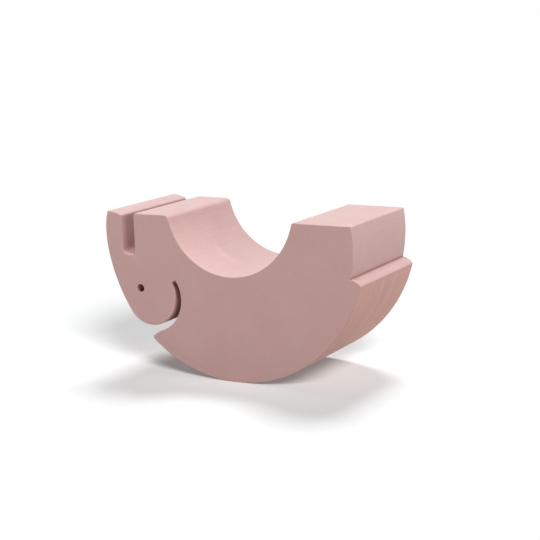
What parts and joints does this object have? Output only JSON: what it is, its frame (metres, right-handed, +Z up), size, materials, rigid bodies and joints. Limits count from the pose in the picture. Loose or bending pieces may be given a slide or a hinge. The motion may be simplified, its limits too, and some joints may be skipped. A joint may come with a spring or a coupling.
{
  "type": "foam rocking animal",
  "caption": "Rocking elephant of glued closed-cell foam sheets, cut straight through to one shape, with a saddle seat, a raised trunk to hold, an ear slit and an eye hole.",
  "frame": {"origin": "on the floor, at the middle of the belly's contact patch, half way across the width", "axes": "+X from the trunk towards the rump, +Y from the side that the picture shows to the far side, +Z up, with the head's and the rump's tops level"},
  "size_m": [0.4472, 0.2, 0.2585],
  "materials": {
    "foam_sheet_near_outer": "matt closed-cell foam, cut faces",
    "foam_sheet_near_inner": "matt closed-cell foam, cut faces",
    "foam_sheet_far_inner": "matt closed-cell foam, cut faces",
    "foam_sheet_far_outer": "matt closed-cell foam, cut faces",
    "glue_film_near": "dried contact adhesive, pale",
    "glue_film_middle": "dried contact adhesive, pale",
    "glue_film_far": "dried contact adhesive, pale"
  },
  "bodies": {
    "root": {"foam_sheet_near_outer": "foam_sheet_near_outer", "foam_sheet_near_inner": "foam_sheet_near_inner", "foam_sheet_far_inner": "foam_sheet_far_inner", "foam_sheet_far_outer": "foam_sheet_far_outer", "glue_film_near": "glue_film_near", "glue_film_middle": "glue_film_middle", "glue_film_far": "glue_film_far"}
  },
  "joints": []
}
